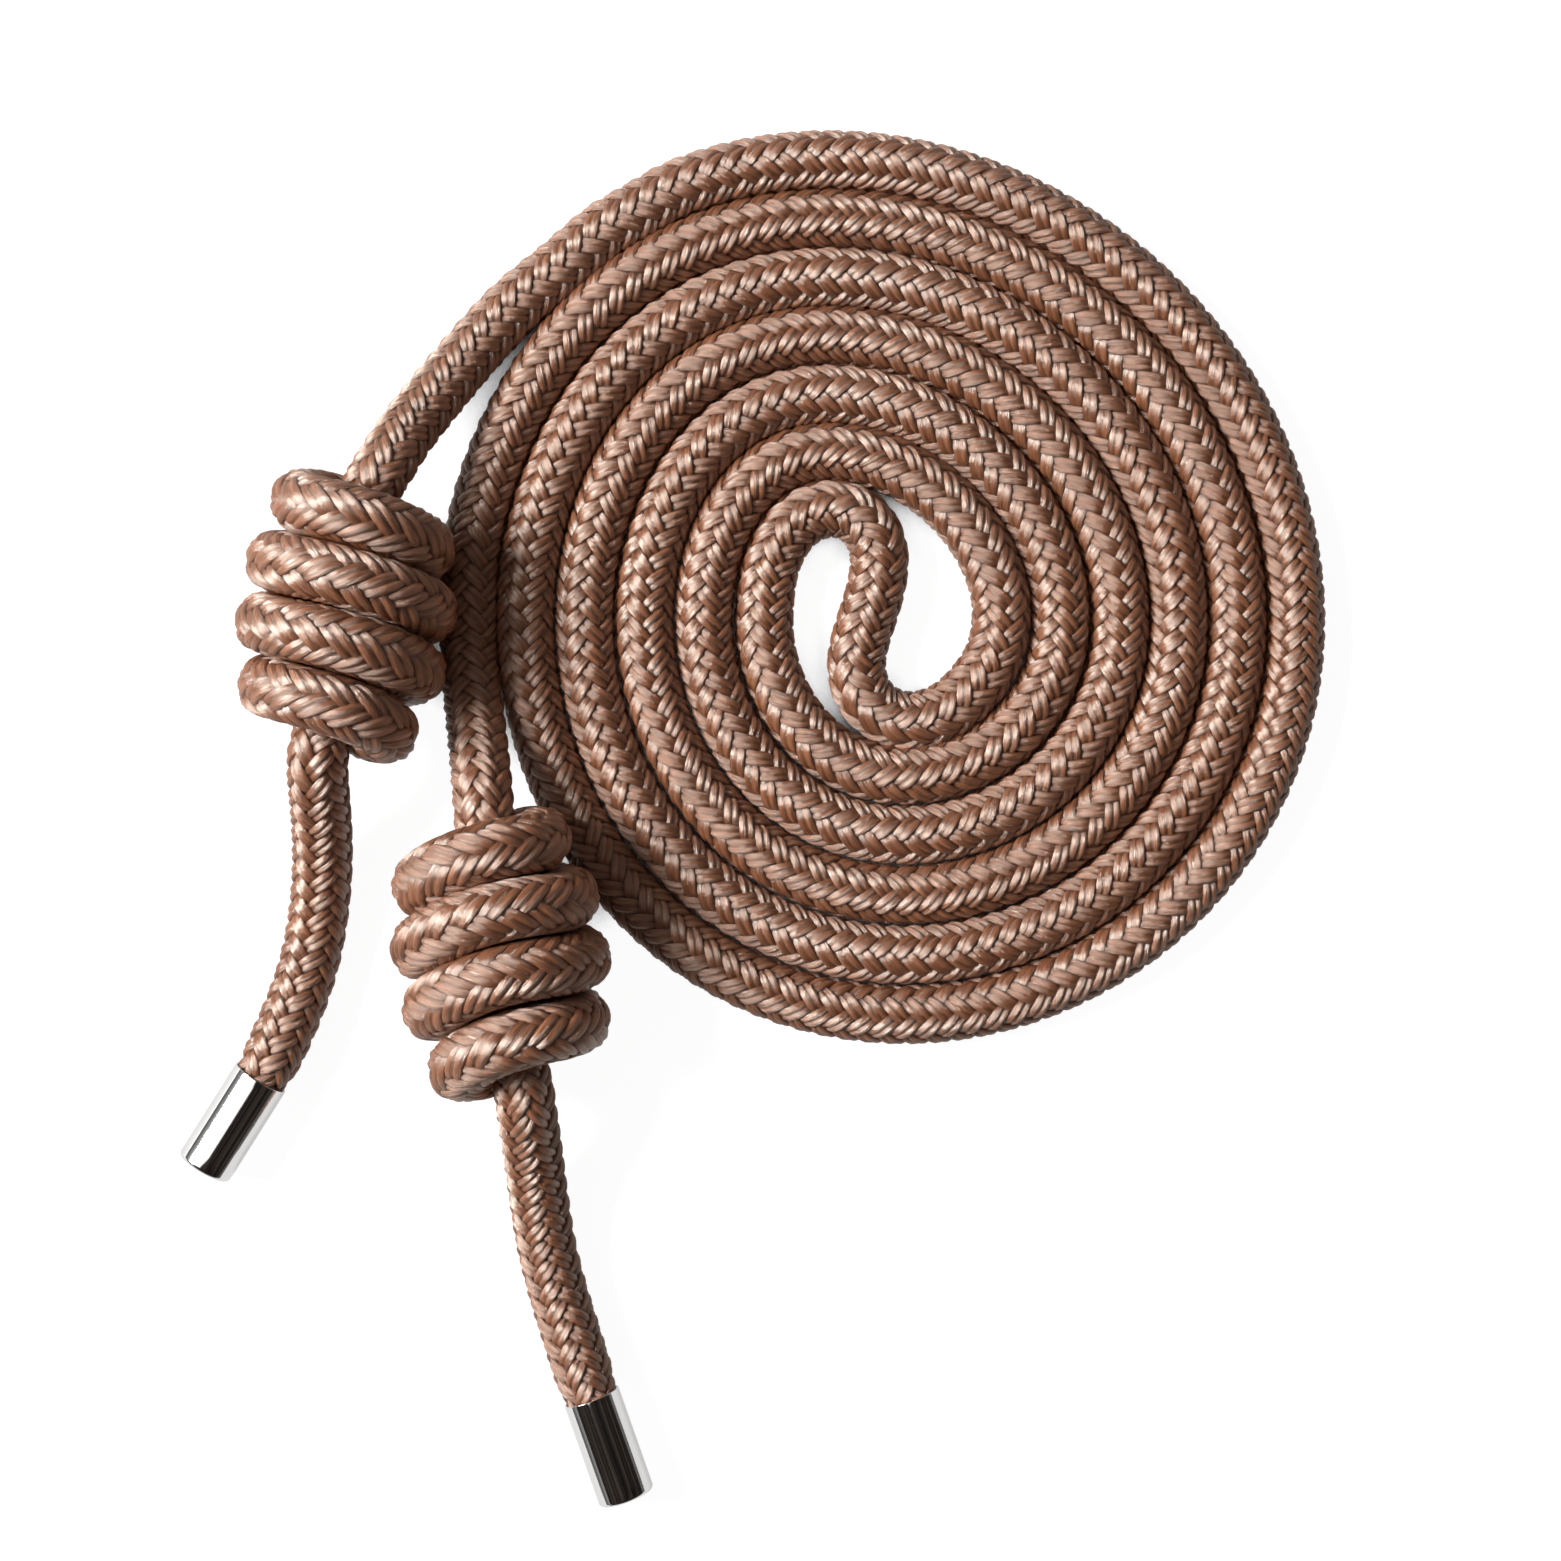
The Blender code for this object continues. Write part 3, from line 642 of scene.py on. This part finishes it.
chrome, tree, shader, add = new_material("polished_chrome", {
    "Base Color": (0.83, 0.82, 0.81, 1), "Metallic": 1.0})
weave = add("ShaderNodeUVMap", uv_map="weave")
drawn_map = add("ShaderNodeMapping", {0: weave.outputs[0], "Scale": (6, 46, 1)})
drawn = add("ShaderNodeTexNoise", {"Vector": drawn_map.outputs[0], "Scale": 1.0, "Detail": 2.0})
haze_place = add("ShaderNodeTexCoord")
haze = add("ShaderNodeTexNoise", {"Vector": haze_place.outputs["Object"], "Scale": 260.0, "Detail": 3.0})
dull = add("ShaderNodeMapRange", {"Value": haze.outputs["Fac"], "To Min": 0.05, "To Max": 0.11})
tree.links.new(dull.outputs["Result"], shader.inputs["Roughness"])
ripple = add("ShaderNodeBump", {"Height": drawn.outputs["Fac"], "Strength": 0.25, "Distance": 0.0001})
tree.links.new(ripple.outputs["Normal"], shader.inputs["Normal"])

glue = new_material("set_glue", {"Base Color": (0.62, 0.52, 0.34, 1), "Roughness": 0.45})[0]

for label, cap in (("upper", upper_cap), ("lower", lower_cap)):
    name = label + "_cap_shell"
    shell = add_piece(name, tube_mesh(name, cup(cap)), chrome)
    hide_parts(label + "_end_cap")
    bpy.data.objects[label + "_cap_glue"].material_slots[0].material = glue

# Floor and lights
# A white sheet under the rope, lit from the upper left, with painted dark shade where the rope hides
# it. The second lamp there and the soft box give gloss alone, and a dark cloth overhead gives the caps
# something dark to mirror, with a painted sheen of lit folds glowing on it.
paper_glow = 0.95                       # to the camera
mirrored_share = 0.64                   # of that glow, in the caps
# Between these, the painted shade lifts from the paper: below them it is dark brown, above them white.
open_from, open_to = 0.12, 0.34         # openness at which the paper starts to glow, and glows in full
sky_near_floor, sky_above = 0.05, 0.5   # as seen in gloss
sky_cut = 0.86                          # from the sky's strength, as it lights the rope
floor_mesh = bpy.data.meshes.new("floor")
floor_mesh.from_pydata([(-3, -3, 0), (3, -3, 0), (3, 3, 0), (-3, 3, 0)], [], [(0, 1, 2, 3)])
floor = bpy.data.objects.new("floor", floor_mesh)
bpy.context.scene.collection.objects.link(floor)
paper, tree, shader, add = new_material("paper", {"Roughness": 0.9, "Emission Color": (1, 1, 1, 1)})
floor_mesh.materials.append(paper)
ray = add("ShaderNodeLightPath")
mirrored = add("ShaderNodeMath", {0: ray.outputs["Is Glossy Ray"], 1: ray.outputs["Is Transmission Ray"]},
               operation="MAXIMUM")
mirrored = add("ShaderNodeMath", {0: mirrored.outputs[0], 1: mirrored_share}, operation="MULTIPLY")
seen = add("ShaderNodeMath", {0: ray.outputs["Is Camera Ray"], 1: mirrored.outputs[0]}, operation="MAXIMUM")
# Painted shade: ambient occlusion finds where the rope hides the paper, in the gaps between the strands, and
# there its glow is cut.
open_sky = add("ShaderNodeAmbientOcclusion", {"Distance": 0.012}, samples=8)
painted_gap_shade_mask = add("ShaderNodeMapRange", {"Value": open_sky.outputs["AO"], "From Min": open_from,
                                     "From Max": open_to})
glow = add("ShaderNodeMath", {0: seen.outputs[0], 1: painted_gap_shade_mask.outputs["Result"]}, operation="MULTIPLY")
glow = add("ShaderNodeMath", {0: glow.outputs[0], 1: paper_glow}, operation="MULTIPLY")
tree.links.new(glow.outputs[0], shader.inputs["Emission Strength"])
# Painted shade in the paper's colour too: dark brown where the rope hides it, light grey in the open.
painted_gap_shade_tone = add("ShaderNodeMix", {"Factor": painted_gap_shade_mask.outputs["Result"], 6: (0.03, 0.012, 0.006, 1),
                                 7: (0.15, 0.15, 0.15, 1)}, data_type="RGBA")
tree.links.new(painted_gap_shade_tone.outputs[2], shader.inputs["Base Color"])


def add_lamp(name, place, aim, size, power, gloss_alone=False):
    """An area lamp that faces a point, seen in gloss alone if so wished."""
    lamp = bpy.data.lights.new(name, "AREA")
    lamp.shape = "RECTANGLE"
    lamp.size, lamp.size_y = size
    lamp.energy = power
    made = bpy.data.objects.new(name, lamp)
    place = np.array(place)
    made.location = place
    backwards = unit(place - np.array(aim))
    made.rotation_euler = (math.acos(backwards[2]), 0, math.atan2(backwards[0], -backwards[1]))
    made.visible_camera = False
    made.visible_diffuse = not gloss_alone
    bpy.context.scene.collection.objects.link(made)


key_place, key_size = (-1.88, 0.46, 1.53), (0.90, 0.90)
add_lamp("key", key_place, (0, 0, 0), key_size, 98)
add_lamp("soft_box", (-1.01, 0.21, 1.30), (-1.01, 0.21, 0), (1.56, 1.12), 7, gloss_alone=True)
add_lamp("glint", key_place, (0, 0, 0), key_size, 150, gloss_alone=True)

ceiling_mesh = bpy.data.meshes.new("dark_ceiling")
ceiling_mesh.from_pydata([(-4, -12, 1.9), (-4, 4, 1.9), (12, 4, 1.9), (12, -12, 1.9)], [], [(0, 1, 2, 3)])
ceiling = bpy.data.objects.new("dark_ceiling", ceiling_mesh)
bpy.context.scene.collection.objects.link(ceiling)
black, tree, shader, add = new_material("black_cloth", {
    "Base Color": (0.015, 0.013, 0.012, 1), "Roughness": 1.0, "Specular IOR Level": 0.0,
    "Emission Strength": 1.0})
place = add("ShaderNodeTexCoord")
folds_map = add("ShaderNodeMapping", {0: place.outputs["Object"], "Scale": (2.6, 0.12, 1)})
folds = add("ShaderNodeTexNoise", {"Vector": folds_map.outputs[0], "Scale": 1.0, "Detail": 5.0,
                                   "Roughness": 0.7})
# The cloth's faint glow in long streaks is a painted sheen of lit folds, which the caps mirror.
sheen = add("ShaderNodeValToRGB", {0: folds.outputs["Fac"]})
set_ramp(sheen, (0.50, (0.0, 0.0, 0.0, 1)), (0.75, (0.16, 0.12, 0.10, 1)))
tree.links.new(sheen.outputs["Color"], shader.inputs["Emission Color"])
ceiling_mesh.materials.append(black)
ceiling.visible_camera = False
ceiling.visible_diffuse = False
ceiling.visible_shadow = False

world = bpy.data.worlds.new("world")
bpy.context.scene.world = world
world.use_nodes = True
sky = world.node_tree.nodes["Background"]
sky.inputs["Color"].default_value = (1, 1, 1, 1)
add = node_adder(world.node_tree)
ray = add("ShaderNodeLightPath")
way = add("ShaderNodeTexCoord")
parts = add("ShaderNodeSeparateXYZ", {0: way.outputs["Generated"]})
climb = add("ShaderNodeMapRange", {"Value": parts.outputs["Z"], "From Max": 0.55,
                                   "To Min": sky_near_floor, "To Max": sky_above})
glossy_or_plain = add("ShaderNodeMix", {0: ray.outputs["Is Glossy Ray"], 2: 1.0, 3: climb.outputs["Result"]})
strength = add("ShaderNodeMath", {0: ray.outputs["Is Diffuse Ray"], 1: -sky_cut,
                                  2: glossy_or_plain.outputs[0]}, operation="MULTIPLY_ADD")
world.node_tree.links.new(strength.outputs[0], sky.inputs["Strength"])

bpy.context.scene.view_settings.view_transform = "Standard"
